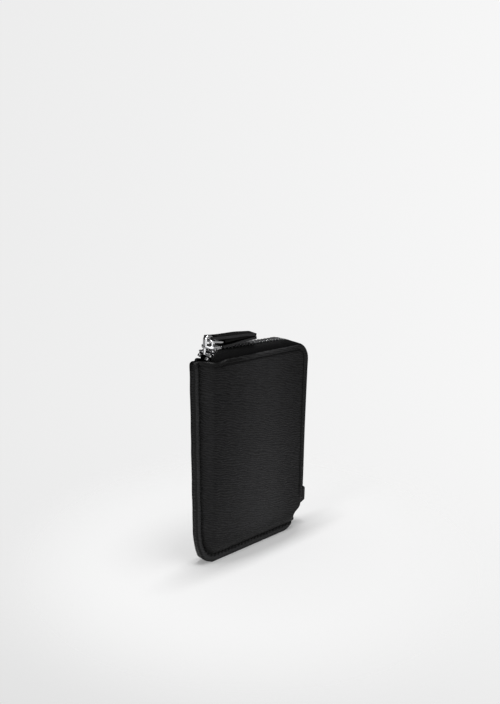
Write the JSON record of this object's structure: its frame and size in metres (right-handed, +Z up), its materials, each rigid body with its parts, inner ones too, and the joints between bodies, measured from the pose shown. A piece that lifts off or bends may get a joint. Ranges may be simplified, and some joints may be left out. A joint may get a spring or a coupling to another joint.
{
  "type": "zip wallet",
  "caption": "Upright soft leather zip wallet with a metal-toothed zip along its top and side, a slider with a leather pull, and cloth-lined card pockets inside.",
  "frame": {"origin": "under the middle of the whole wallet, on the surface it stands on", "axes": "+Z up, +X along the zip from its closed end to its open end, the front panel faces -Y"},
  "size_m": [0.0793, 0.0144, 0.1218],
  "materials": {
    "leather": "black leather with a fine grain and a soft sheen",
    "tape": "woven black zip tape",
    "lining": "matt dark cloth",
    "board": "matt grey stiffener",
    "zip_metal": "polished nickel",
    "slider_metal": "bright polished nickel"
  },
  "bodies": {
    "wallet": {"front_panel": "leather", "back_panel": "leather", "front_board": "board", "back_board": "board", "front_lining": "lining", "back_lining": "lining", "seam_core": "board", "card_pocket_upper": "lining", "card_pocket_lower": "lining", "front_tape": "tape", "back_tape": "tape", "front_teeth": "zip_metal", "back_teeth": "zip_metal", "front_top_stop": "zip_metal", "back_top_stop": "zip_metal", "bottom_stop": "zip_metal", "zip_end_ear": "leather"},
    "slider": {"slider": "slider_metal"},
    "pull": {"pull_ring": "slider_metal", "tab_upper": "leather", "tab_lower": "leather"}
  },
  "joints": [
    {"name": "slider_slide", "type": "slide", "parent": "wallet", "child": "slider", "axis": [0.9998, 0, -0.0209], "range_m": [0, 0.037], "deforming": ["front_teeth", "back_teeth"]},
    {"name": "pull_hinge", "type": "hinge", "parent": "slider", "child": "pull", "pos_m": [-0.02896, 0, 0.11896], "axis": [-0.1045, -0.9945, 0.0022], "range_deg": [0, 170]}
  ]
}
